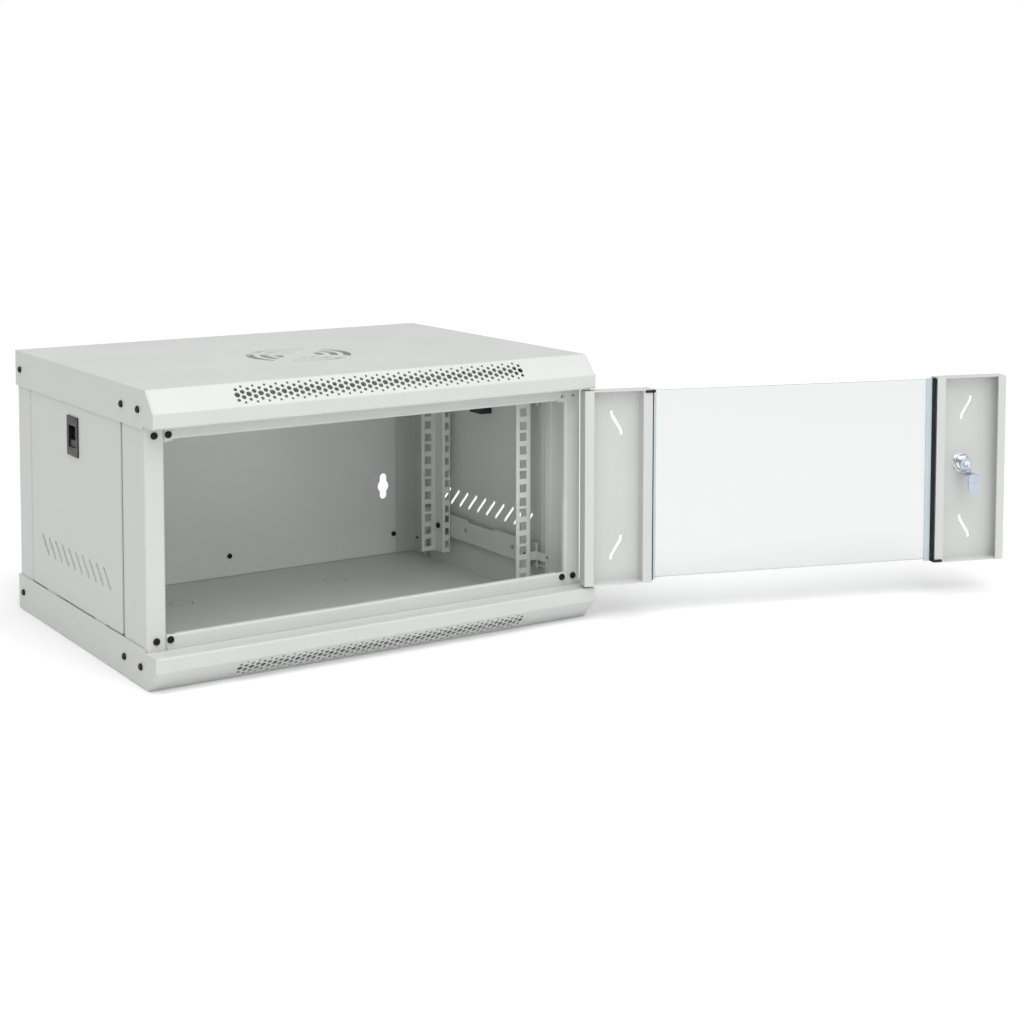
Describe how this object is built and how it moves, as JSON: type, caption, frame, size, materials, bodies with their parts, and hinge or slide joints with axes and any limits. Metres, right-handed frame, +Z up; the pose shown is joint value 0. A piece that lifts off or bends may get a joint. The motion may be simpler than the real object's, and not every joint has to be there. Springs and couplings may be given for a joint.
{
  "type": "network wall cabinet",
  "caption": "Shallow wall-mounted equipment cabinet with folded steel covers, square-hole rack rails, latched side panels and a hinged glass door with a cam lock.",
  "frame": {"origin": "centre of the bottom face that the cabinet stands on", "axes": "+Z up, front towards -Y, +X to the right seen from the front"},
  "size_m": [1.0239, 0.5621, 0.3],
  "materials": {
    "cabinet_paint": "fine-textured light grey powder coat",
    "rail_paint": "fine-textured light grey powder coat",
    "latch_plastic": "moulded black plastic",
    "hinge_pin_steel": "turned steel",
    "door_glass": "clear toughened glass with green edges",
    "seal_rubber": "black rubber",
    "lock_chrome": "bright chrome plate",
    "cam_zinc": "zinc-plated steel",
    "black_screw": "black oxide"
  },
  "bodies": {
    "cabinet": {"top_cover": "cabinet_paint", "bottom_cover": "cabinet_paint", "back_panel": "cabinet_paint", "front_left_post": "cabinet_paint", "front_right_post": "cabinet_paint", "rear_left_post": "cabinet_paint", "rear_right_post": "cabinet_paint", "front_top_rail": "cabinet_paint", "front_bottom_rail": "cabinet_paint", "lower_right_bracket": "cabinet_paint", "lower_left_bracket": "cabinet_paint", "upper_right_bracket": "cabinet_paint", "upper_left_bracket": "cabinet_paint", "front_right_rack_rail": "rail_paint", "front_left_rack_rail": "rail_paint", "rear_right_rack_rail": "rail_paint", "rear_left_rack_rail": "rail_paint", "upper_hinge_pin": "hinge_pin_steel", "lower_hinge_pin": "hinge_pin_steel", "cover_screws": "black_screw", "front_frame_screws": "black_screw", "back_panel_screws": "black_screw", "rail_screws": "black_screw", "bracket_screws": "black_screw"},
    "left_panel": {"left_side_panel": "cabinet_paint", "left_latch_housing": "latch_plastic"},
    "right_panel": {"right_side_panel": "cabinet_paint", "right_latch_housing": "latch_plastic"},
    "left_latch": {"left_latch_slider": "latch_plastic"},
    "right_latch": {"right_latch_slider": "latch_plastic"},
    "door": {"door_hinge_stile": "cabinet_paint", "door_lock_stile": "cabinet_paint", "door_glass": "door_glass", "hinge_side_seal": "seal_rubber", "lock_side_seal": "seal_rubber", "lock_body": "lock_chrome", "lock_nut": "lock_chrome"},
    "lock": {"lock_plug": "lock_chrome", "lock_cam": "cam_zinc", "lock_cam_screw": "cam_zinc"}
  },
  "joints": [
    {"name": "door_hinge", "type": "hinge", "parent": "cabinet", "child": "door", "pos_m": [0.258, -0.192, 0.15], "axis": [0, 0, 1], "range_deg": [-162.5, 0]},
    {"name": "lock_turn", "type": "hinge", "parent": "door", "child": "lock", "pos_m": [0.69956, -0.35953, 0.156], "axis": [-0.3007, -0.9537, 0], "range_deg": [0, 90]},
    {"name": "left_panel_tilt", "type": "hinge", "parent": "cabinet", "child": "left_panel", "pos_m": [-0.2634, 0, 0.0404], "axis": [0, -1, 0], "range_deg": [0, 12]},
    {"name": "right_panel_tilt", "type": "hinge", "parent": "cabinet", "child": "right_panel", "pos_m": [0.2634, 0, 0.0404], "axis": [0, 1, 0], "range_deg": [0, 12]},
    {"name": "left_latch_slide", "type": "slide", "parent": "left_panel", "child": "left_latch", "axis": [0, 0, 1], "range_m": [0, 0.007]},
    {"name": "right_latch_slide", "type": "slide", "parent": "right_panel", "child": "right_latch", "axis": [0, 0, 1], "range_m": [0, 0.007]}
  ]
}
